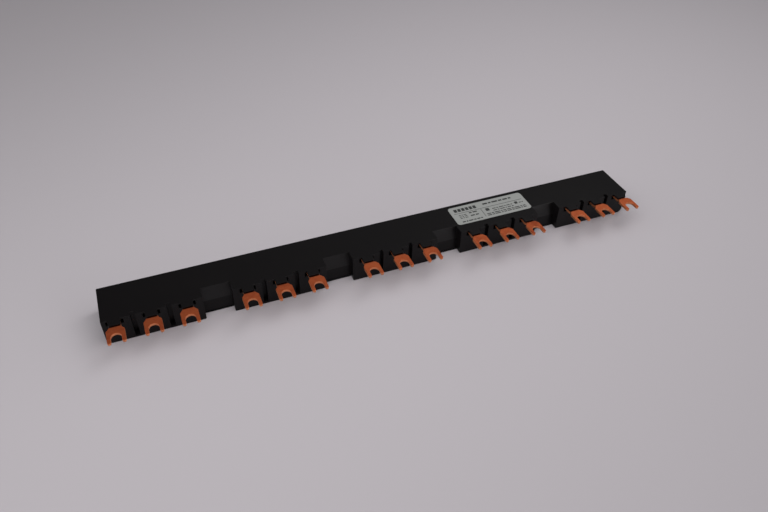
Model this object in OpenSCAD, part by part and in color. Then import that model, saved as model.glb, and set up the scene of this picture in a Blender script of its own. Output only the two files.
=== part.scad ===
// Three-phase comb busbar: copper fork tags on three rails feed a row of breakers.
// X runs along the bar, Y towards its back, Z up. The origin is under the middle of the whole
// bar, on the plane that its base rests on. Millimetres.

/* [Breaker row] */
// Number of breakers that the bar joins
positions = 5; // [2:1:6]
// Distance from one breaker to the next
module_pitch = 55; // [50:0.5:63]
// Distance between two neighbouring tags of one breaker
tag_pitch = 14.6; // [13:0.1:15.4]

/* [Housing] */
// Height of the housing from its base to its top face
body_h = 12.7; // [11.4:0.1:15]
// Width of a tooth block beside its outer outlets
block_margin = 2.5; // [1.6:0.05:4]
// Width of the housing beside the outlet at each end
end_margin = 1.1; // [0.4:0.1:3]
// Wall thickness of the moulded cover
wall = 1.2; // [0.9:0.1:1.2]
// Thickness of the cover's top wall
top_t = 0.9; // [0.7:0.05:1]
// Thickness of the base plate
base_t = 1.0; // [0.8:0.1:1.4]
// How far the foot of a tooth block leans out past its top edge
front_lean = 0.6; // [0:0.1:1]

/* [Recess between tooth blocks] */
// How far the tooth blocks stand out in front of the recess at the top face
block_reach = 5.5; // [4.4:0.1:8]
// How far the slope of the recess leans back from its foot to the top face
slope_run = 2.1; // [1:0.1:2.3]
// How far the wall under the slope leans out towards the base
wall_run = 0.7; // [0:0.1:1]
// Height of the slope, from its foot to the top face
slope_h = 6.1; // [4:0.1:7]
// Room between the front partition and the cover's wall at the foot of the slope
front_room = 0.8; // [0.4:0.1:2]

/* [Edges] */
// Radius of the long top edge at the front of the blocks
front_edge_r = 0.7; // [0.2:0.1:0.9]
// Radius of the top edge at the back
back_edge_r = 0.3; // [0.2:0.1:0.8]
// Radius of the upright edges at the back corners
back_corner_r = 0.7; // [0.2:0.1:1]
// Radius of the lower corners of the tooth blocks
block_corner_r = 0.7; // [0.2:0.1:1.4]
// Radius of the lower edge at the two ends of the housing
end_corner_r = 2.6; // [1:0.1:3]

/* [Grooves between tags] */
// Width of the insulating groove between two tags
groove_w = 2; // [1.2:0.1:2.6]
// Depth of the groove in the top face
groove_d = 1; // [0.8:0.1:1.6]

/* [Tag outlets] */
// Free width beside a tag in its outlet
outlet_side = 1.7; // [0.6:0.1:1.8]
// Free height under a tag in its outlet
outlet_under = 0.8; // [0.2:0.1:0.9]
// Free height beside the hood, over the top of a tag
outlet_over = 0.2; // [0.2:0.05:0.5]
// Width of the hood that covers a tag's neck
hood_w = 5; // [4:0.1:5.2]
// How far the hood stands out from the front edge of the top face
hood_reach = 3.3; // [2:0.1:5]
// Radius of the hood's front corners
hood_corner_r = 0.6; // [0.2:0.1:1.2]

/* [Fork tags] */
// Thickness of the copper sheet of the tags
tag_t = 1.2; // [1:0.1:1.3]
// Width of a tag's neck
neck_w = 4.8; // [4.4:0.1:5.6]
// Width of the fork
fork_w = 7.3; // [6.8:0.1:8]
// Width of the screw slot
slot_w = 4.3; // [4.1:0.1:5]
// Distance from the fork's tips to the centre of the slot's round end
slot_depth = 2.8; // [2:0.05:3.2]
// Length of the fork from its tips to the start of its neck
fork_l = 8.4; // [7.6:0.1:10]
// Length over which the shoulders widen from neck to fork
shoulder_l = 1.6; // [0.8:0.1:1.8]
// Height of the step that lifts the fork over its neck
joggle_h = 0.9; // [0.4:0.1:1]
// Length of that step
joggle_l = 0.9; // [0.6:0.1:2]
// Length of the welded flange down the face of its rail
flange_l = 4.6; // [3:0.1:6]
// Inside radius of the bend between neck and flange
bend_r = 0.6; // [0.3:0.1:1]

/* [Rails] */
// Thickness of the copper rails
rail_t = 2; // [1.6:0.1:2.1]
// Radius of the long edges of the rails
rail_edge_r = 0.4; // [0.2:0.1:0.6]
// Thickness of the partitions between the rails
rib_t = 0.9; // [0.7:0.05:0.95]
// How far the partitions stay below the top of the rails
rib_drop = 0.8; // [0.5:0.1:3]
// Thickness of the insulating strip between rails and necks
strip_t = 1; // [0.6:0.1:1.2]
// Air gap between that strip and the necks that cross over it
neck_room = 1.1; // [0.3:0.1:1.5]

/* [Rating label] */
// Width of the label
label_w = 41.2; // [20:0.2:42]
// Depth of the label
label_d = 13.2; // [6:0.1:14]
// Thickness of the label film
label_t = 0.15; // [0.1:0.05:0.3]
// Radius of the label's corners
label_r = 1.6; // [0.5:0.1:3]
// Distance of the label's middle from the middle of its breaker, along the bar
label_shift = 0.6; // [-1:0.1:1]
// Distance from the label to the back edge of the top face
label_margin = 2.2; // [0.8:0.1:4]

/* [Fits] */
// Gap between pieces that slide together
fit_gap = 0.1; // [0.05:0.01:0.12]
// Gap around copper that passes through the insulating strip
copper_gap = 0.3; // [0.2:0.05:0.4]

/* [Hidden] */
$fn = 48;
phases = 3;
over = 1;  // how far a cutter runs past the face that it opens

// Depth of the housing: the rails, each with room for a flange and a partition, between the walls
rail_pitch = rail_t + tag_t + rib_t + 2 * fit_gap;
stack_d = wall + fit_gap + rib_t + phases * rail_pitch;
body_d = stack_d + front_room + wall - slope_run + block_reach;

// Reach of the tags in front of the housing: hood, step and fork
tag_reach = hood_reach + fit_gap + joggle_l + fork_l;

// Widths: an outlet is centred on its tag, and the blocks and ends close round the outer ones
outlet_w = neck_w + 2 * outlet_side;
outlet_reach = (phases - 1) / 2 * tag_pitch + outlet_w / 2;
block_w = 2 * (outlet_reach + block_margin);
end_reach = outlet_reach + end_margin;

// Depths, from the back of the bar to the tips of the tags
back_y = (body_d + tag_reach) / 2;
front_y = back_y - body_d;
tip_y = front_y - tag_reach;
foot_y = front_y - front_lean;

// Lengths
end_x = (positions - 1) / 2 * module_pitch + end_reach;
inner_x = end_x - wall;

// Heights
ceiling_z = body_h - top_t;
slope_z = body_h - slope_h;
neck_top_z = ceiling_z - fit_gap;
neck_z = neck_top_z - tag_t;
fork_z = neck_z + joggle_h;
strip_top_z = neck_z - neck_room;
rail_top_z = strip_top_z - strip_t;

// The rails, from the back: L1, L2, L3
lip_back_y = back_y - wall - fit_gap;
first_rail_back = lip_back_y - rib_t - fit_gap;
function rail_back(phase) = first_rail_back - (phase - 1) * rail_pitch;
function rail_front(phase) = rail_back(phase) - rail_t;
function flange_front(phase) = rail_front(phase) - tag_t;

// The recess line, at any height over the foot of its slope
recess_top_y = front_y + block_reach;
slope_foot_y = recess_top_y - slope_run;
recess_low_y = slope_foot_y - wall_run;
function slope_y(z) = slope_foot_y + slope_run * (z - slope_z) / (body_h - slope_z);

function position_x(position) = (position - (positions + 1) / 2) * module_pitch;
function tag_x(position, phase) = position_x(position) + (phase - (phases + 1) / 2) * tag_pitch;
function groove_x(position, side) = position_x(position) + side * tag_pitch / 2;
function block_start(position) = position == 1 ? -end_x : position_x(position) - block_w / 2;
function block_end(position) = position == positions ? end_x : position_x(position) + block_w / 2;
function fork_name(position, phase) = str("fork_", position, "_l", phase);

housing_colour = "#2b2829";
base_colour = "#262425";
copper_colour = "#c4703c";
strip_colour = "#b9b4a6";
label_colour = "#aeb2ae";

// Extrudes an outline drawn in Y and Z along X, from one place to another
module along_x(from, to) {
    translate([from, 0, 0])
        rotate([90, 0, 90])
            linear_extrude(to - from)
                children();
}

// Extrudes an outline drawn in X and Z along Y, from one place to another
module along_y(from, to) {
    translate([0, to, 0])
        rotate([90, 0, 0])
            linear_extrude(to - from)
                children();
}

// Extrudes an outline drawn in X and Y upwards, from one height to another
module along_z(from, to) {
    translate([0, 0, from])
        linear_extrude(to - from)
            children();
}

// A box given by two opposite corners
module box(low, high) {
    translate(low)
        cube(high - low);
}

// What rounding takes off a corner that points towards the signs of sx and sy
module corner_waste(corner, r, sx, sy) {
    translate([corner.x - sx * r, corner.y - sy * r])
        difference() {
            translate([sx > 0 ? 0 : -r - over, sy > 0 ? 0 : -r - over])
                square(r + over);
            circle(r);
        }
}

// A rectangle with round corners
module rounded_rectangle(w, d, r) {
    difference() {
        square([w, d], center = true);
        for (sx = [-1, 1])
            for (sy = [-1, 1])
                corner_waste([sx * w / 2, sy * d / 2], r, sx, sy);
    }
}

// ---- Housing ----

// Side view of the channel that holds the rails, with its sloping front
module channel_outline() {
    difference() {
        polygon([
            [recess_low_y, 0],
            [back_y, 0],
            [back_y, body_h],
            [recess_top_y, body_h],
            [slope_foot_y, slope_z]
        ]);
        corner_waste([back_y, body_h], back_edge_r, 1, 1);
    }
}

// Side view of a tooth block, which leans out towards its foot
module block_outline() {
    difference() {
        polygon([[foot_y, 0], [back_y - back_edge_r, 0], [back_y - back_edge_r, body_h], [front_y, body_h]]);
        corner_waste([front_y, body_h], front_edge_r, -1, 1);
    }
}

// Front view of one tooth block, with its lower corners rounded
module block_front(position) {
    start = block_start(position);
    end = block_end(position);
    difference() {
        translate([start, 0])
            square([end - start, body_h]);
        corner_waste([start, 0], block_corner_r, -1, -1);
        corner_waste([end, 0], block_corner_r, 1, -1);
    }
}

// Front view of the whole bar, with the lower edge of each end rounded
module end_to_end_front() {
    difference() {
        translate([-end_x, 0])
            square([2 * end_x, body_h]);
        corner_waste([-end_x, 0], end_corner_r, -1, -1);
        corner_waste([end_x, 0], end_corner_r, 1, -1);
    }
}

// Top view of the whole bar, with its back corners rounded
module plan_outline() {
    difference() {
        translate([-end_x, foot_y])
            square([2 * end_x, back_y - foot_y]);
        corner_waste([-end_x, back_y], back_corner_r, -1, 1);
        corner_waste([end_x, back_y], back_corner_r, 1, 1);
    }
}

// The grooves that keep neighbouring tags of one breaker apart, open at the top and the front
module grooves() {
    for (position = [1 : positions])
        for (side = [-1, 1])
            box([groove_x(position, side) - groove_w / 2, foot_y - over, base_t],
                [groove_x(position, side) + groove_w / 2, front_y + groove_d, body_h + over]);
}

// The outer form that the cover and the base share
module housing_form() {
    intersection() {
        union() {
            along_x(-end_x, end_x)
                channel_outline();
            for (position = [1 : positions])
                intersection() {
                    along_x(block_start(position), block_end(position))
                        block_outline();
                    along_y(foot_y, back_y)
                        block_front(position);
                }
        }
        along_y(foot_y, back_y)
            end_to_end_front();
        along_z(0, body_h)
            plan_outline();
    }
}

// The space inside the channel, one wall behind its sloping front
module channel_space() {
    along_x(-inner_x, inner_x)
        polygon([
            [recess_low_y + wall, -over],
            [back_y - wall, -over],
            [back_y - wall, ceiling_z],
            [slope_y(ceiling_z) + wall, ceiling_z],
            [slope_foot_y + wall, slope_z]
        ]);
}

// The space inside the tooth blocks, which joins the channel's
module block_space() {
    for (position = [1 : positions])
        along_x(block_start(position) + wall, block_end(position) - wall)
            polygon([
                [foot_y + wall, -over],
                [recess_top_y + wall, -over],
                [recess_top_y + wall, ceiling_z],
                [front_y + wall, ceiling_z]
            ]);
}

// Walls inside the cover: one behind each groove, and bridges that hold the strip down
module inner_walls() {
    for (position = [1 : positions])
        for (side = [-1, 1]) {
            x = groove_x(position, side);
            box([x - groove_w / 2 - wall, foot_y, -over],
                [x + groove_w / 2 + wall, front_y + groove_d + wall, body_h]);
            bridge(x);
        }
    for (position = [1 : positions - 1])
        bridge(position_x(position) + module_pitch / 2);
}

// One bridge from front to back, just over the insulating strip
module bridge(x) {
    box([x - rib_t / 2, foot_y, strip_top_z + fit_gap], [x + rib_t / 2, back_y, body_h]);
}

// The outlets of the tags, cut through the front of the blocks
module outlets() {
    for (position = [1 : positions])
        for (phase = [1 : phases]) {
            x = tag_x(position, phase);
            box([x - outlet_w / 2, foot_y - over, neck_z - outlet_under],
                [x + outlet_w / 2, front_y + wall + over, neck_top_z + outlet_over]);
        }
}

// A tongue over each tag's neck, level with the top face
module hoods() {
    root_y = front_y + wall + over;
    tip = front_y - hood_reach;
    for (position = [1 : positions])
        for (phase = [1 : phases]) {
            x = tag_x(position, phase);
            along_z(ceiling_z, body_h)
                difference() {
                    translate([x - hood_w / 2, tip])
                        square([hood_w, root_y - tip]);
                    corner_waste([x - hood_w / 2, tip], hood_corner_r, -1, -1);
                    corner_waste([x + hood_w / 2, tip], hood_corner_r, 1, -1);
                }
        }
}

module housing_cover() {
    color(housing_colour) {
        difference() {
            housing_form();
            box([-end_x - over, foot_y - over, -over], [end_x + over, back_y + over, base_t]);
            difference() {
                union() {
                    channel_space();
                    block_space();
                }
                inner_walls();
            }
            grooves();
            outlets();
        }
        hoods();
    }
}

module housing_base() {
    color(base_colour) {
        intersection() {
            housing_form();
            box([-end_x, foot_y, 0], [end_x, back_y, base_t]);
        }
        // the lip at the back, and the partitions that keep the rails upright and apart
        rib_x = inner_x - fit_gap;
        for (phase = [0 : phases]) {
            rib_back = phase == 0 ? lip_back_y : flange_front(phase) - fit_gap;
            box([-rib_x, rib_back - rib_t, 0], [rib_x, rib_back, rail_top_z - rib_drop]);
        }
    }
}

// ---- Copper ----

module rail(phase) {
    rail_x = inner_x - 2 * fit_gap;
    rail_h = rail_top_z - base_t;
    color(copper_colour)
        along_x(-rail_x, rail_x)
            translate([rail_back(phase) - rail_t / 2, base_t + rail_h / 2])
                rounded_rectangle(rail_t, rail_h, rail_edge_r);
}

// Side view of a tag: fork, step, neck, bend and the flange that is welded to its rail
module tag_side(phase) {
    weld_y = rail_front(phase);
    fork_back = tip_y + fork_l;
    neck_front = fork_back + joggle_l;
    bend_y = weld_y - tag_t - bend_r;
    bend_z = neck_z - bend_r;
    translate([tip_y, fork_z])
        square([fork_l, tag_t]);
    polygon([
        [fork_back, fork_z],
        [neck_front, neck_z],
        [neck_front, neck_top_z],
        [fork_back, fork_z + tag_t]
    ]);
    translate([neck_front, neck_z])
        square([bend_y - neck_front, tag_t]);
    intersection() {
        translate([bend_y, bend_z])
            difference() {
                circle(bend_r + tag_t);
                circle(bend_r);
            }
        translate([bend_y, bend_z])
            square(bend_r + tag_t);
    }
    translate([weld_y - tag_t, rail_top_z - flange_l])
        square([tag_t, bend_z - rail_top_z + flange_l]);
}

// Top view of a tag, centred on X = 0: neck, shoulders and two round-tipped prongs
module tag_plan() {
    prong_r = (fork_w - slot_w) / 4;
    fork_back = tip_y + fork_l;
    translate([-neck_w / 2, fork_back])
        square([neck_w, back_y - fork_back]);
    difference() {
        polygon([
            [-neck_w / 2, fork_back],
            [-fork_w / 2, fork_back - shoulder_l],
            [-fork_w / 2, tip_y],
            [fork_w / 2, tip_y],
            [fork_w / 2, fork_back - shoulder_l],
            [neck_w / 2, fork_back]
        ]);
        for (side = [-1, 1]) {
            corner_waste([side * fork_w / 2, tip_y], prong_r, side, -1);
            corner_waste([side * slot_w / 2, tip_y], prong_r, -side, -1);
        }
    }
}

module fork_tag(position, phase) {
    slot_y = tip_y + slot_depth;
    color(copper_colour)
        translate([tag_x(position, phase), 0, 0])
            difference() {
                intersection() {
                    along_x(-fork_w / 2, fork_w / 2)
                        tag_side(phase);
                    along_z(0, body_h)
                        tag_plan();
                }
                translate([0, slot_y, fork_z - over])
                    cylinder(h = tag_t + 2 * over, r = slot_w / 2);
                box([-slot_w / 2, tip_y - over, fork_z - over], [slot_w / 2, slot_y, fork_z + tag_t + over]);
            }
}

// ---- Insulation and label ----

// A strip over the two front rails, cut out where their own flanges rise past it
module insulating_strip() {
    strip_x = inner_x - 2 * fit_gap;
    front = slope_y(strip_top_z) + wall + fit_gap;
    back = flange_front(1) - copper_gap;
    color(strip_colour)
        difference() {
            box([-strip_x, front, rail_top_z], [strip_x, back, strip_top_z]);
            for (position = [1 : positions])
                for (phase = [2 : phases]) {
                    x = tag_x(position, phase);
                    reach = neck_w / 2 + copper_gap;
                    opening = phase == phases ? front - over : flange_front(phase) - copper_gap;
                    box([x - reach, opening, rail_top_z - over],
                        [x + reach, rail_front(phase), strip_top_z + over]);
                }
        }
}

module rating_label() {
    color(label_colour)
        translate([position_x(positions - 1) + label_shift, back_y - label_margin - label_d / 2, 0])
            along_z(body_h, body_h + label_t)
                rounded_rectangle(label_w, label_d, label_r);
}

housing_cover();
housing_base();
insulating_strip();
for (phase = [1 : phases])
    rail(phase);
for (position = [1 : positions])
    for (phase = [1 : phases])
        fork_tag(position, phase);
rating_label();
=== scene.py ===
# %% [markdown]
# # A three-phase comb busbar
#
# A comb busbar joins a row of motor protection breakers. A slim black housing holds three copper
# rails, and from its toothed front edge the copper fork tags reach out, three for each breaker, to
# slide under the breakers' terminal screws. The solids come from the CAD model at their real size.
# This lesson gives them their surfaces: moulded plastic, punched copper, and a printed film label.

# %% Load the solids
import math

import bpy
from mathutils import Matrix, Vector


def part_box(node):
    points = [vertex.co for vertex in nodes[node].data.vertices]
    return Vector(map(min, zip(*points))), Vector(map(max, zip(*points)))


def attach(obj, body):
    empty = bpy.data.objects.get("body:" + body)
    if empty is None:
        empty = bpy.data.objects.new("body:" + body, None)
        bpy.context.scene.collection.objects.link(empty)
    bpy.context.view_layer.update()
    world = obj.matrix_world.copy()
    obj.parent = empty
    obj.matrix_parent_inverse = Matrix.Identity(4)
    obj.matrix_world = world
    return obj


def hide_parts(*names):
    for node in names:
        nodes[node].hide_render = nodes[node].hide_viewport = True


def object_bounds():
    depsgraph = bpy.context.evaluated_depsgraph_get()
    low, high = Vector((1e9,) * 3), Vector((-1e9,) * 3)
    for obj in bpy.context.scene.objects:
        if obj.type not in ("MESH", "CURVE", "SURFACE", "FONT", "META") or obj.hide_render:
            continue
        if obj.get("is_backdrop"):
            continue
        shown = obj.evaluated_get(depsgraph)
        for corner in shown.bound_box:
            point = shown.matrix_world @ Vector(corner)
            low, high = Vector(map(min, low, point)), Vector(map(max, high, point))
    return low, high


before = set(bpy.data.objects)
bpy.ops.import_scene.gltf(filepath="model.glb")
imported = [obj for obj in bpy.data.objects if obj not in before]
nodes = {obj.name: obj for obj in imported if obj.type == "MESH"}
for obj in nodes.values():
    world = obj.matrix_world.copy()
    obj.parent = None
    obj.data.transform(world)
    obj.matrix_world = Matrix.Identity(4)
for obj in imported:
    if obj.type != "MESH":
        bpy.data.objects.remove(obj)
cad_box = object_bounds()
MM = 0.001

FORKS = sorted(name for name in nodes if name.startswith("fork_"))
RAILS = sorted(name for name in nodes if name.startswith("rail_"))
print("solids:", len(nodes), "of which fork tags:", len(FORKS))

# %% [markdown]
# ## The view
#
# The bar lies on a table and is seen from its front left, from a little over forty degrees up. A
# long lens from far away would draw both its ends at almost the same width. A lens of about 31 mm
# on a 36 mm sensor, close to the bar, makes its near end clearly wider than its far end. The
# camera also leans sideways by a few degrees, as a camera held in the hand does.

# %% The camera
CAMERA_AT = Vector((-98.15, -212.18, 218.34)) * MM
LOOKS_AT = Vector((-1.49, 6.23, 0.0)) * MM
LENS_MM = 31.38
LEAN = math.radians(2.52)
NEAREST_M, FARTHEST_M = 0.01, 50

camera_data = bpy.data.cameras.new("camera")
camera_data.lens = LENS_MM
camera_data.clip_start = NEAREST_M
camera_data.clip_end = FARTHEST_M
camera = bpy.data.objects.new("camera", camera_data)
bpy.context.scene.collection.objects.link(camera)
aim = (LOOKS_AT - CAMERA_AT).to_track_quat("-Z", "Y").to_matrix().to_4x4()
camera.matrix_world = Matrix.Translation(CAMERA_AT) @ aim @ Matrix.Rotation(LEAN, 4, "Z")
bpy.context.scene.camera = camera
bpy.context.scene.view_settings.view_transform = "Standard"
print("camera", round((LOOKS_AT - CAMERA_AT).length / MM), "mm from the bar")

# %% [markdown]
# ## Colours and nodes
#
# Paint and plastic colours are easiest to pick as sRGB hex values, but shaders work in linear
# light, so one function turns the one into the other. A second function adds a shader node, sets
# what it is given and links what it is given, which keeps the materials below short enough to
# read. Sockets are picked by name, except on a Mix node: it has a set of sockets for every kind of
# data, all with the same names, and those for colours have the numbers that are given here.

# %% Helpers for materials
MIX_A, MIX_B, MIX_RESULT = 6, 7, 2


def colour(code):
    """A hex colour such as "c4703c" as linear red, green, blue and alpha."""
    parts = [int(code[i : i + 2], 16) / 255 for i in (0, 2, 4)]
    return [c / 12.92 if c <= 0.04045 else ((c + 0.055) / 1.055) ** 2.4 for c in parts] + [1.0]


def add(tree, kind, links=None, values=None, **settings):
    """Adds a node: settings are its own properties, values and links go to its inputs."""
    node = tree.nodes.new("ShaderNode" + kind)
    for key, value in settings.items():
        setattr(node, key, value)
    for key, value in (values or {}).items():
        node.inputs[key].default_value = value
    for key, socket in (links or {}).items():
        tree.links.new(socket, node.inputs[key])
    return node


def new_material(name):
    """An empty Principled material: the material, its node tree and its shader."""
    material = bpy.data.materials.new(name)
    material.use_nodes = True
    return material, material.node_tree, material.node_tree.nodes["Principled BSDF"]


print("black plastic in linear light:", [round(c, 4) for c in colour("141213")[:3]])

# %% [markdown]
# ## Table, light and room
#
# The table is a plain pale sheet, large enough that its edge is never seen. A long strip softbox
# hangs over the bar, turned a little, so that the sheet is brightest along a band from its near
# left to its far right and falls off on both sides of it. A sun lamp would light the sheet evenly
# and give it hard shadows.
#
# Black plastic shows what it mirrors more than its own colour, so the room matters. Real walls
# would do, but soft-edged panels of light in the world shader are quicker to move and to dim. The
# top of the bar mirrors the far wall, which is dim. Light also comes from a window on the right,
# which lengthens the shadow at the left end, from a white wall on the left, and from a low
# reflector at the front right, which the sloping recesses pick up. Near the table's height all
# walls are pale.

# %% The table
TABLE_COLOUR = "c5bfc4"
TABLE_M = 30
SHEET_ROUGHNESS = 0.9  # uncoated, so that it shows no reflection of the bar
SHEET_GLOSS = 0.2
bpy.ops.mesh.primitive_plane_add(size=TABLE_M, location=(0, 0, 0))
table = bpy.context.object
table.name = "table"
sheet_white, sheet_tree, sheet_shader = new_material("matt_sheet")
sheet_shader.inputs["Base Color"].default_value = colour(TABLE_COLOUR)
sheet_shader.inputs["Roughness"].default_value = SHEET_ROUGHNESS
sheet_shader.inputs["Specular IOR Level"].default_value = SHEET_GLOSS
table.data.materials.append(sheet_white)
table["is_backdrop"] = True
print("table:", TABLE_M, "m, colour", TABLE_COLOUR)

# %% The softbox
SOFTBOX_AT = Vector((-60, -40, 400)) * MM
SOFTBOX_M = (0.95, 0.15)
SOFTBOX_TURN = math.radians(26)
SOFTBOX_WATTS = 1.48
softbox_data = bpy.data.lights.new("softbox", "AREA")
softbox_data.shape = "RECTANGLE"
softbox_data.size, softbox_data.size_y = SOFTBOX_M
softbox_data.energy = SOFTBOX_WATTS
softbox = bpy.data.objects.new("softbox", softbox_data)
softbox.location = SOFTBOX_AT
softbox.rotation_euler = (0, 0, SOFTBOX_TURN)
bpy.context.scene.collection.objects.link(softbox)
print("softbox", SOFTBOX_WATTS, "W,", SOFTBOX_M, "m")

# %% The room
WALL_STRENGTH = 0.25
WALL_FADES_FROM, WALL_FADES_TO = 0.12, 0.3  # how steeply a ray climbs, as a sine
# Each panel: the way it lies, the cosines where it begins and where it is full, and its strength.
PANELS = {
    "window": ((0.85, -0.15, 0.5), 0.75, 0.95, 0.94),
    "white wall": ((-0.8, 0.1, 0.6), 0.75, 0.95, 0.88),
    "far wall": ((0.3, 0.75, 0.55), 0.85, 0.98, 0.17),
    "low reflector": ((0.6, -0.78, 0.15), 0.93, 0.985, 2.4),
}
world = bpy.data.worlds.new("room")
bpy.context.scene.world = world
world.use_nodes = True
room = world.node_tree
room.nodes.clear()
ray = add(room, "TexCoord").outputs["Generated"]
climb = add(room, "SeparateXYZ", {"Vector": ray}).outputs["Z"]
walls = add(
    room, "MapRange", {"Value": climb},
    {"From Min": WALL_FADES_FROM, "From Max": WALL_FADES_TO,
     "To Min": WALL_STRENGTH, "To Max": 0.0},
    interpolation_type="SMOOTHSTEP",
)
light = walls.outputs["Result"]
for towards, edge, core, strength in PANELS.values():
    middle = Vector(towards).normalized()
    nearness = add(room, "VectorMath", {0: ray}, {1: middle}, operation="DOT_PRODUCT")
    glow = add(
        room, "MapRange", {"Value": nearness.outputs["Value"]},
        {"From Min": edge, "From Max": core, "To Min": 0.0, "To Max": strength},
        interpolation_type="SMOOTHSTEP",
    )
    both = add(room, "Math", {0: light, 1: glow.outputs["Result"]}, operation="ADD")
    light = both.outputs["Value"]
air = add(room, "Background", {"Strength": light}, {"Color": colour("ffffff")})
add(room, "OutputWorld", {"Surface": air.outputs["Background"]})
print("room panels:", ", ".join(PANELS))

# %% [markdown]
# ## Moulded thermoplastic
#
# The housing is a glass-filled polyamide, moulded black. The steel mould was spark-eroded, which
# leaves a fine matt grain and a deep, soft black. The slopes of the recesses were left by a
# smoother slide of the mould, so they mirror a little more and look greyer. The black is never
# quite even: where the melt met the mould late, the skin is a shade greyer and smoother.
#
# An image texture would have to be unwrapped onto each piece. Noise on object coordinates
# needs no unwrapping and has its real size everywhere. There are two layers of it, a fine one as a
# bump and a slow one for colour and gloss. The real grain is about 0.06 mm, too fine to show from
# here, so it is drawn at 0.3 mm.

# %% Black polyamide
GRAIN_MM = 0.3
GRAIN_DEPTH_MM = 0.03
GRAIN_RELIEF = 0.3
FLOW_MM = 11.0
FLOW_SPAN = (0.3, 0.7)  # where most values of the slow noise lie
FLOW_ROUGHNESS = (0.36, 0.3)  # where the melt met the mould early, and where late
POLYAMIDE_IOR = 1.53
GRAIN_GLOSS = 0.155  # the grain swallows two thirds of what a smooth skin would mirror
SLIDE_GLOSS = 0.27  # the smoother slide leaves more of it
COVER_BLACKS = ("0e0c0d", "141213")
BASE_BLACKS = ("0d0b0c", "131112")


def moulded_polyamide(name, blacks, gloss_left):
    """Grained black plastic between two shades. Its specular level would be 0.5 if smooth."""
    material, tree, shader = new_material(name)
    place = add(tree, "TexCoord").outputs["Object"]
    flow = add(tree, "TexNoise", {"Vector": place}, {"Scale": 1 / (FLOW_MM * MM), "Detail": 3.0})
    grain = add(tree, "TexNoise", {"Vector": place}, {"Scale": 1 / (GRAIN_MM * MM), "Detail": 2.0})
    tone = add(
        tree, "Mix", {"Factor": flow.outputs["Fac"]},
        {MIX_A: colour(blacks[0]), MIX_B: colour(blacks[1])}, data_type="RGBA",
    )
    gloss = add(
        tree, "MapRange", {"Value": flow.outputs["Fac"]},
        {"From Min": FLOW_SPAN[0], "From Max": FLOW_SPAN[1],
         "To Min": FLOW_ROUGHNESS[0], "To Max": FLOW_ROUGHNESS[1]},
    )
    relief = add(
        tree, "Bump", {"Height": grain.outputs["Fac"]},
        {"Strength": GRAIN_RELIEF, "Distance": GRAIN_DEPTH_MM * MM},
    )
    tree.links.new(tone.outputs[MIX_RESULT], shader.inputs["Base Color"])
    tree.links.new(gloss.outputs["Result"], shader.inputs["Roughness"])
    tree.links.new(relief.outputs["Normal"], shader.inputs["Normal"])
    shader.inputs["IOR"].default_value = POLYAMIDE_IOR
    shader.inputs["Specular IOR Level"].default_value = gloss_left
    return material


cover_plastic = moulded_polyamide("spark_eroded_polyamide_cover", COVER_BLACKS, GRAIN_GLOSS)
base_plastic = moulded_polyamide("spark_eroded_polyamide_base", BASE_BLACKS, GRAIN_GLOSS)
slide_plastic = moulded_polyamide("slide_polished_polyamide_slope", COVER_BLACKS, SLIDE_GLOSS)
print("plastics:", cover_plastic.name, base_plastic.name, slide_plastic.name)

# %% [markdown]
# ## Edges that catch the light
#
# No moulded or punched part has a perfectly sharp edge. A mould leaves less than a tenth of a
# millimetre of radius, and a punch rolls the edge of the sheet over a little more. A bevel gives
# both: the solid is copied, its loose triangles are merged and flattened into whole faces, and
# every edge sharper than thirty degrees is rounded. A weighted normal then keeps the large faces
# flat to the eye. A shader can fake this with its Bevel node, but a real bevel also shows in the
# finished mesh.

# %% A merged copy of a solid
MERGE_MM = 0.001
FLAT = math.radians(0.5)


def deselect():
    bpy.ops.object.select_all(action="DESELECT")


def merge_doubles():
    """In edit mode, merges points that coincide and dissolves faces without an area."""
    bpy.ops.mesh.select_all(action="SELECT")
    bpy.ops.mesh.remove_doubles(threshold=MERGE_MM * MM)
    bpy.ops.mesh.dissolve_degenerate(threshold=MERGE_MM * MM)


def merge_flat():
    """Turns the active piece's triangles into whole flat faces."""
    bpy.ops.object.mode_set(mode="EDIT")
    merge_doubles()
    bpy.ops.mesh.dissolve_limited(angle_limit=FLAT)
    bpy.ops.object.mode_set(mode="OBJECT")


def merged_copy(node, name):
    """A copy of a CAD solid with whole faces, left active, without the frame's own marks."""
    deselect()
    piece = nodes[node].copy()
    piece.data = nodes[node].data.copy()
    piece.name = name
    piece.parent = None
    for key in list(piece.keys()):
        del piece[key]
    bpy.context.scene.collection.objects.link(piece)
    piece.select_set(True)
    bpy.context.view_layer.objects.active = piece
    merge_flat()
    return piece


print("loose triangles:", sum(len(solid.data.polygons) for solid in nodes.values()))

# %% Rounded edges and a finish
SHARP = math.radians(30)
SMOOTH = math.radians(50)


def soften(piece, edge_mm):
    """Rounds every sharp edge of the active piece and keeps its large faces flat."""
    edges = piece.modifiers.new("edges", "BEVEL")
    edges.width = edge_mm * MM
    edges.segments = 2
    edges.limit_method = "ANGLE"
    edges.angle_limit = SHARP
    bpy.ops.object.modifier_apply(modifier="edges")
    bpy.ops.object.mode_set(mode="EDIT")
    merge_doubles()
    bpy.ops.object.mode_set(mode="OBJECT")
    bpy.ops.object.shade_smooth_by_angle(angle=SMOOTH)
    flat = piece.modifiers.new("flat", "WEIGHTED_NORMAL")
    flat.keep_sharp = True
    bpy.ops.object.modifier_apply(modifier="flat")


def stand_for(piece, node, material):
    """Gives the piece its material, and puts it in the place of its CAD node."""
    piece.data.materials.clear()
    piece.data.materials.append(material)
    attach(piece, "root")
    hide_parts(node)


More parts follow.
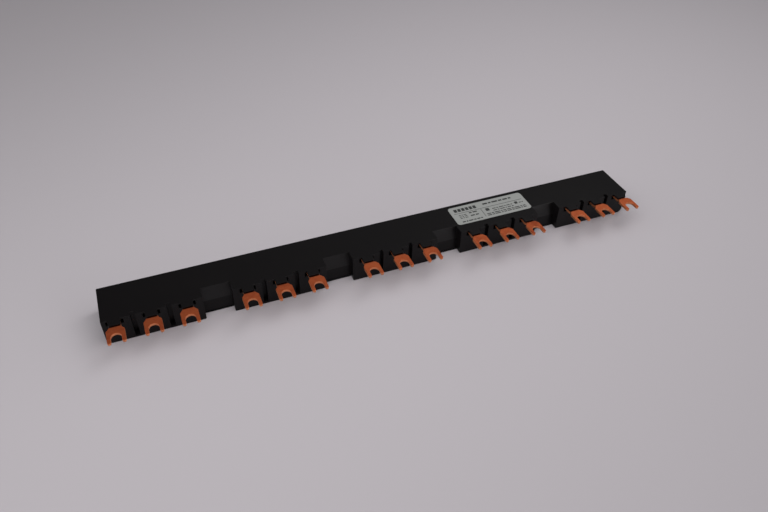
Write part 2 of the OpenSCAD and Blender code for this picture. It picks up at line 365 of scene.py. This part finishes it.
# %% [markdown]
# ## The moulded housing
#
# The housing is two mouldings: a toothed cover, and the base plate that closes it from below. Four
# places on them are finer than the solids. The solids round the front top edge of the tooth blocks
# by 0.7 mm, but the mould leaves it nearly sharp, so the arc is pressed flat against the face. The
# slots between the tags reach deeper into the cover, which keeps them dark, and the openings
# beside the necks are narrower. Under the recesses the base is rounded at its foot, so that a soft
# shade lies between the bar and the table.
#
# Boolean cutters could make all four, but they leave slivers that spoil a bevel. So each place is
# picked by its coordinates and moved or bevelled in edit mode, which keeps the mesh closed. Where
# only a part of a long edge is to be rounded, a bisect first divides it.

# %% Picking points by their place
NEAR = 0.01 * MM


def select_where(piece, test):
    """Enters edit mode with only the points that pass the test selected, and counts them."""
    bpy.ops.object.mode_set(mode="EDIT")
    bpy.ops.mesh.select_mode(type="VERT")
    bpy.ops.mesh.select_all(action="DESELECT")
    bpy.ops.object.mode_set(mode="OBJECT")
    for vertex in piece.data.vertices:
        vertex.select = test(vertex.co)
    count = sum(vertex.select for vertex in piece.data.vertices)
    bpy.ops.object.mode_set(mode="EDIT")
    return count


# %% The cover, its block edges pressed sharp
BLOCK_LEAN_MM = 0.6
BLOCK_EDGE_MM = 0.7
LEAN_SLACK_MM = 0.06  # more than the face leans out over the height of the arc
cover = merged_copy("housing_cover", "moulded_cover")
block_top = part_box("housing_cover")[1].z
base_low, base_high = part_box("housing_base")
block_front = base_low.y + BLOCK_LEAN_MM * MM
edge_depth = BLOCK_EDGE_MM * MM
picked = select_where(
    cover,
    lambda co: -LEAN_SLACK_MM * MM < co.y - block_front < edge_depth - NEAR
    and -edge_depth - NEAR < co.z - block_top < -NEAR / 2,
)
bpy.ops.transform.resize(value=(1, 0, 0), center_override=(0, block_front, block_top))
bpy.ops.object.mode_set(mode="OBJECT")
merge_flat()
print("block edges:", picked, "points pressed flat")

# %% Deeper slots between the tags
SLOT_BACK_MM = 1.0
SLOT_DEEPER_MM = 0.8
slot_back = block_front + SLOT_BACK_MM * MM
picked = select_where(cover, lambda co: abs(co.y - slot_back) < NEAR)
bpy.ops.transform.translate(value=(0, SLOT_DEEPER_MM * MM, 0))
bpy.ops.object.mode_set(mode="OBJECT")
print("slots:", picked, "points moved back")

# %% Narrower openings beside the necks
OPENING_HALF_MM = 4.1
OPENING_IN_MM = 0.6
FRONT_WALL_MM = 1.2
tag_middles = [sum(corner.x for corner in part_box(node)) / 2 for node in FORKS]
inner_wall = slot_back + FRONT_WALL_MM * MM
for side in (-1, 1):
    jambs = [middle + side * OPENING_HALF_MM * MM for middle in tag_middles]
    picked = select_where(
        cover,
        lambda co: co.y < inner_wall + NEAR and any(abs(co.x - jamb) < NEAR for jamb in jambs),
    )
    bpy.ops.transform.translate(value=(-side * OPENING_IN_MM * MM, 0, 0))
    bpy.ops.object.mode_set(mode="OBJECT")
    print("openings:", picked, "points drawn in")

# %% Where the recesses lie
BREAKERS = 5
BREAKER_PITCH_MM = 55.0
RECESS_HALF_MM = 6.0
recess_middles = [(k - BREAKERS / 2) * BREAKER_PITCH_MM * MM for k in range(1, BREAKERS)]


def in_recess(x, slack):
    """Tells if x lies between two tooth blocks, or at most the slack beyond."""
    return any(abs(x - middle) < RECESS_HALF_MM * MM + slack for middle in recess_middles)


print("recess middles:", [round(middle / MM, 1) for middle in recess_middles], "mm")

# %% The finished cover
MOULD_EDGE_MM = 0.06
SLOPE_SLACK_MM = 0.3
SLOPE_RISE = (0.2, 0.6)  # how far the normal of a slope points up
cover_middle = (base_low.y + base_high.y) / 2
soften(cover, MOULD_EDGE_MM)
stand_for(cover, "housing_cover", cover_plastic)
cover.data.materials.append(slide_plastic)
slopes = [
    face for face in cover.data.polygons
    if in_recess(face.center.x, SLOPE_SLACK_MM * MM)
    and face.center.y < cover_middle
    and SLOPE_RISE[0] < face.normal.z < SLOPE_RISE[1]
]
for face in slopes:
    face.material_index = 1
print(cover.name, len(cover.data.polygons), "faces, on slopes", len(slopes))

# %% The base, rounded at its foot
FOOT_ROUND_MM = 0.85
RECESS_IN_MM = 3.3
base = merged_copy("housing_base", "moulded_base")
recess_front = base_low.y + RECESS_IN_MM * MM
for middle in recess_middles:
    for side in (-1, 1):
        bpy.ops.object.mode_set(mode="EDIT")
        bpy.ops.mesh.select_all(action="SELECT")
        cut = (middle + side * RECESS_HALF_MM * MM, 0, 0)
        bpy.ops.mesh.bisect(plane_co=cut, plane_no=(1, 0, 0))
        bpy.ops.object.mode_set(mode="OBJECT")
picked = select_where(
    base,
    lambda co: abs(co.y - recess_front) < NEAR
    and co.z < base_low.z + NEAR
    and in_recess(co.x, NEAR),
)
bpy.ops.mesh.select_mode(type="EDGE")
bpy.ops.mesh.bevel(offset=FOOT_ROUND_MM * MM, segments=4, affect="EDGES")
bpy.ops.object.mode_set(mode="OBJECT")
merge_flat()
print("recess feet:", picked, "points")
soften(base, MOULD_EDGE_MM)
stand_for(base, "housing_base", base_plastic)
print(base.name, len(base.data.polygons), "faces")

# %% [markdown]
# ## Punched copper
#
# The tags are stamped from rolled copper sheet. Bare copper tarnishes within weeks, so the flats
# are a warm red-brown with darker, patchy oxide, some tags more than others, and fine lines run in
# the direction in which the sheet was rolled. The punched walls are painted a lighter copper,
# a painted highlight for the pale table which they mirror.
#
# The walls could be picked face by face and given a copper of their own. It is simpler to let one
# material find them by the surface normal, which lies level on them. The tarnish is one noise
# times a slower one, which gives each tag its own share. The real rolling lines are a few
# hundredths of a millimetre apart, too fine to show from here, so they are drawn at 0.15 mm.

# %% Rolled copper sheet
TARNISH_MM = 2.4
TAG_TO_TAG_MM = 23.0
OXIDE_SPAN = (0.15, 0.4)  # where the copper begins to darken and where it is darkest
ROLLING_MM = 0.15
ROLLING_DEPTH_MM = 0.01
ROLLING_RELIEF = 0.25
ROLLING_STRETCH = (1.0, 0.06, 1.0)  # the lines run from front to back
# The upright walls found by the next two values take a lighter colour, a painted highlight.
WALL_SPAN = (0.2, 0.6)  # below the first the surface is a wall, above the second a flat
CLEAN_ROUGHNESS, TARNISHED_ROUGHNESS = 0.5, 0.64


def rolled_copper(name, clean, tarnished, cut):
    """Copper whose flats go from clean to tarnished and whose walls carry a painted highlight."""
    material, tree, shader = new_material(name)
    where = add(tree, "TexCoord")
    place = where.outputs["Object"]
    patch = add(
        tree, "TexNoise", {"Vector": place},
        {"Scale": 1 / (TARNISH_MM * MM), "Detail": 4.0, "Roughness": 0.6},
    )
    batch = add(
        tree, "TexNoise", {"Vector": place}, {"Scale": 1 / (TAG_TO_TAG_MM * MM), "Detail": 1.0}
    )
    oxide = add(
        tree, "Math", {0: patch.outputs["Fac"], 1: batch.outputs["Fac"]}, operation="MULTIPLY"
    )
    age = add(
        tree, "MapRange", {"Value": oxide.outputs["Value"]},
        {"From Min": OXIDE_SPAN[0], "From Max": OXIDE_SPAN[1]},
    )
    flat = add(
        tree, "Mix", {"Factor": age.outputs["Result"]},
        {MIX_A: colour(clean), MIX_B: colour(tarnished)}, data_type="RGBA",
    )
    facing = add(tree, "SeparateXYZ", {"Vector": where.outputs["Normal"]})
    up = add(tree, "Math", {0: facing.outputs["Z"]}, operation="ABSOLUTE")
    wall = add(
        tree, "MapRange", {"Value": up.outputs["Value"]},
        {"From Min": WALL_SPAN[0], "From Max": WALL_SPAN[1], "To Min": 1.0, "To Max": 0.0},
    )
    # The walls take the third colour, a lighter painted highlight for the pale table they mirror.
    tone = add(
        tree, "Mix", {"Factor": wall.outputs["Result"], MIX_A: flat.outputs[MIX_RESULT]},
        {MIX_B: colour(cut)}, data_type="RGBA",
    )
    rough = add(
        tree, "MapRange", {"Value": age.outputs["Result"]},
        {"To Min": CLEAN_ROUGHNESS, "To Max": TARNISHED_ROUGHNESS},
    )
    along = add(tree, "Mapping", {"Vector": place}, {"Scale": ROLLING_STRETCH})
    lines = add(
        tree, "TexNoise", {"Vector": along.outputs["Vector"]},
        {"Scale": 1 / (ROLLING_MM * MM), "Detail": 2.0},
    )
    relief = add(
        tree, "Bump", {"Height": lines.outputs["Fac"]},
        {"Strength": ROLLING_RELIEF, "Distance": ROLLING_DEPTH_MM * MM},
    )
    tree.links.new(tone.outputs[MIX_RESULT], shader.inputs["Base Color"])
    tree.links.new(rough.outputs["Result"], shader.inputs["Roughness"])
    tree.links.new(relief.outputs["Normal"], shader.inputs["Normal"])
    shader.inputs["Metallic"].default_value = 1.0
    return material


# The third colour of each copper is the painted highlight on its walls.
tag_copper = rolled_copper("rolled_copper_tags", "c2653e", "9f4e30", "df9469")
# A drawn rail's walls get no painted highlight: they are as red and as even as its flats.
rail_copper = rolled_copper("drawn_copper_rails", "c2623c", "94452a", "c2623c")
print("coppers:", tag_copper.name, rail_copper.name)

# %% Fifteen fork tags
PUNCH_EDGE_MM = 0.14
for node in FORKS:
    tag = merged_copy(node, node.replace("fork", "tag"))
    soften(tag, PUNCH_EDGE_MM)
    stand_for(tag, node, tag_copper)
print("tags:", len(FORKS), "with", len(tag.data.polygons), "faces each")

# %% [markdown]
# ## Hidden parts
#
# The rails and the strip over them are inside the closed housing. They have their true shape
# already, so a copy with rounded edges would add nothing that shows, and each only takes a finish:
# drawn copper for the rails, and for the strip pressed insulation, a dull straw grey with short
# fibres in it, which lie along the strip.

# %% Pressed insulation board
FIBRE_MM = 0.5
FIBRE_STRETCH = (0.25, 1.0, 1.0)
BOARD_ROUGHNESS = 0.8
pressed_board, board_tree, board_shader = new_material("pressed_insulation_board")
board_place = add(board_tree, "TexCoord").outputs["Object"]
board_stretch = add(board_tree, "Mapping", {"Vector": board_place}, {"Scale": FIBRE_STRETCH})
fibres = add(
    board_tree, "TexNoise", {"Vector": board_stretch.outputs["Vector"]},
    {"Scale": 1 / (FIBRE_MM * MM)},
)
board_tone = add(
    board_tree, "Mix", {"Factor": fibres.outputs["Fac"]},
    {MIX_A: colour("a9a28e"), MIX_B: colour("c2bca9")}, data_type="RGBA",
)
board_tree.links.new(board_tone.outputs[MIX_RESULT], board_shader.inputs["Base Color"])
board_shader.inputs["Roughness"].default_value = BOARD_ROUGHNESS
print("board:", pressed_board.name)


# %% Rails and insulating strip
def dress(node, material):
    """Gives a CAD solid that stays in its place another material."""
    mesh = nodes[node].data
    mesh.materials.clear()
    mesh.materials.append(material)


dress("insulating_strip", pressed_board)
for node in RAILS:
    dress(node, rail_copper)
print("dressed:", RAILS, "and the strip")

# %% [markdown]
# ## Rating label
#
# The label is a silver-grey polyester film, die-cut with round corners and printed in black. It
# could be no more than a patch of colour in the cover's material, but then it would have no edge
# to catch the light. So the film is a thin plate: a box whose upright edges are bevelled into the
# corners and whose top edge is softened by the die. The metal in the film gives it a faint sheen,
# which a weak, fine cloud of two greys stands for.

# %% A box and its upright edges
def box_piece(name, low, high):
    """A box between two corners, added in place as a mesh that sits at the origin."""
    deselect()
    centre = (Vector(low) + Vector(high)) / 2
    bpy.ops.mesh.primitive_cube_add(size=1, location=centre, scale=Vector(high) - Vector(low))
    piece = bpy.context.object
    piece.name = name
    bpy.ops.object.transform_apply(location=True, rotation=True, scale=True)
    return piece


def select_upright(piece):
    """Enters edit mode with only the upright edges selected."""
    bpy.ops.object.mode_set(mode="EDIT")
    bpy.ops.mesh.select_mode(type="EDGE")
    bpy.ops.mesh.select_all(action="DESELECT")
    bpy.ops.object.mode_set(mode="OBJECT")
    for edge in piece.data.edges:
        a, b = (piece.data.vertices[i].co for i in edge.vertices)
        edge.select = abs(a.x - b.x) + abs(a.y - b.y) < NEAR
    bpy.ops.object.mode_set(mode="EDIT")


label_low, label_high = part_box("rating_label")
print("label", [round(v / MM, 2) for v in label_high - label_low], "mm")

# %% The film
INK_ROOM_MM = 0.02  # the film stops this far below the label's top, and the ink stands there
LABEL_CORNER_MM = 1.6
DIE_EDGE_MM = 0.04
DIE_EDGE_ANGLE = math.radians(40)  # the facets of the round corners meet at less than this
film_top = label_high.z - INK_ROOM_MM * MM
film = box_piece("label_film", label_low, (label_high.x, label_high.y, film_top))
select_upright(film)
bpy.ops.mesh.bevel(offset=LABEL_CORNER_MM * MM, segments=10, affect="EDGES")
bpy.ops.object.mode_set(mode="OBJECT")
film_edge = film.modifiers.new("edges", "BEVEL")
film_edge.width = DIE_EDGE_MM * MM
film_edge.segments = 2
film_edge.angle_limit = DIE_EDGE_ANGLE
bpy.ops.object.modifier_apply(modifier="edges")
bpy.ops.object.shade_flat()
print(film.name, len(film.data.polygons), "faces")

# %% Silver-grey polyester
SHEEN_MM = 0.4
FILM_ROUGHNESS = 0.45
FILM_METAL = 0.15
polyester, film_tree, film_shader = new_material("silver_polyester_film")
film_place = add(film_tree, "TexCoord").outputs["Object"]
sheen = add(
    film_tree, "TexNoise", {"Vector": film_place}, {"Scale": 1 / (SHEEN_MM * MM), "Detail": 3.0}
)
film_tone = add(
    film_tree, "Mix", {"Factor": sheen.outputs["Fac"]},
    {MIX_A: colour("969895"), MIX_B: colour("a3a4a2")}, data_type="RGBA",
)
film_tree.links.new(film_tone.outputs[MIX_RESULT], film_shader.inputs["Base Color"])
film_shader.inputs["Roughness"].default_value = FILM_ROUGHNESS
film_shader.inputs["Metallic"].default_value = FILM_METAL
stand_for(film, "rating_label", polyester)
print("film:", polyester.name)

# %% [markdown]
# ## The print
#
# Screen printing leaves a layer of ink about ten micrometres thick with slightly rounded corners.
# It could be drawn in the film's material, but geometry also shows in the finished mesh. So every
# mark is a thin block that stands on the film. The marks are placed in millimetres from the
# label's back left corner, joined into one piece, and their upright edges are bevelled together.
# They are plain bars, rules and dashes, in the rows that a rating label has. The weave of the
# screen leaves the black a little uneven. Its real threads are about 0.1 mm apart, and 0.5 mm is
# as fine as shows.

# %% One mark, and a row of dashes
INK_SUNK_MM = 0.01
INK_PROUD_MM = 0.012
marks = []


def mark(x, y, wide, high):
    """A printed block: its left and back edge, its width and its height, in mm on the label."""
    left, back = label_low.x + x * MM, label_high.y - y * MM
    low = (left, back - high * MM, film_top - INK_SUNK_MM * MM)
    marks.append(box_piece("mark", low, (left + wide * MM, back, film_top + INK_PROUD_MM * MM)))


def dashes(x, y, end, high, lengths, gap=0.45):
    """A row of marks from x to end, whose lengths repeat."""
    turn = 0
    while x + lengths[turn % len(lengths)] <= end:
        mark(x, y, lengths[turn % len(lengths)], high)
        x += lengths[turn % len(lengths)] + gap
        turn += 1


# %% The heading and its rules
for step in range(6):
    mark(2.4 + 2.1 * step, 1.8, 1.6, 2.2)
dashes(18.6, 1.9, 36.2, 1.0, (2.6, 1.4, 3.2, 1.9), 0.6)
mark(1.6, 5.0, 38.0, 0.24)
mark(15.8, 5.5, 0.24, 6.0)
print("heading:", len(marks), "marks")

# %% The left column
dashes(9.0, 5.9, 14.6, 0.8, (1.5, 2.4), 0.5)
dashes(9.0, 8.1, 14.6, 0.8, (2.2, 1.7), 0.5)
for row in (6.5, 7.6, 8.7):
    dashes(3.2, row, 8.3, 0.45, (1.1, 0.7, 1.5))
dashes(2.9, 11.3, 15.0, 0.75, (1.7, 0.9, 2.3, 1.3))
print("with the left column:", len(marks), "marks")

# %% The right column, with a square block at each end
mark(18.0, 6.0, 2.0, 2.0)
for row in (6.9, 8.3):
    dashes(21.6, row, 33.2, 0.55, (1.9, 1.0, 2.6, 0.8))
mark(34.4, 6.1, 1.7, 1.7)
dashes(36.8, 7.0, 40.0, 0.55, (1.2, 0.8))
for row in (9.8, 10.9):
    dashes(17.2, row, 40.0, 0.6, (2.2, 1.2, 3.0, 0.9, 1.6))
print("with the right column:", len(marks), "marks")

# %% One piece of ink
INK_CORNER_MM = 0.07
deselect()
for block in marks:
    block.select_set(True)
bpy.context.view_layer.objects.active = marks[0]
bpy.ops.object.join()
label_print = bpy.context.object
label_print.name = "label_print"
select_upright(label_print)
bpy.ops.mesh.bevel(offset=INK_CORNER_MM * MM, segments=2, affect="EDGES")
bpy.ops.object.mode_set(mode="OBJECT")
bpy.ops.object.shade_flat()
print(label_print.name, len(label_print.data.polygons), "faces")

# %% Screen-printed ink
SCREEN_MM = 0.5
INK_ROUGHNESS = 0.5
ink, ink_tree, ink_shader = new_material("screen_printed_ink")
ink_place = add(ink_tree, "TexCoord").outputs["Object"]
screen_weave = add(
    ink_tree, "TexNoise", {"Vector": ink_place}, {"Scale": 1 / (SCREEN_MM * MM), "Detail": 2.0}
)
ink_tone = add(
    ink_tree, "Mix", {"Factor": screen_weave.outputs["Fac"]},
    {MIX_A: colour("1c1d1d"), MIX_B: colour("2b2c2b")}, data_type="RGBA",
)
ink_tree.links.new(ink_tone.outputs[MIX_RESULT], ink_shader.inputs["Base Color"])
ink_shader.inputs["Roughness"].default_value = INK_ROUGHNESS
label_print.data.materials.append(ink)
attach(label_print, "root")
print("ink:", ink.name)

# %% [markdown]
# ## Sizes
#
# Surfaces must not change the size of a part, or it would no longer fit its breakers. So the box
# round the solids, taken before anything was added, is kept beside the box round the finished bar.

# %% Sizes and finish
made_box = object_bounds()
sizes = {"cad": [list(corner) for corner in cad_box], "visual": [list(corner) for corner in made_box]}
for name, (low, high) in sizes.items():
    print(name, "box", [round((b - a) / MM, 2) for a, b in zip(low, high)], "mm")
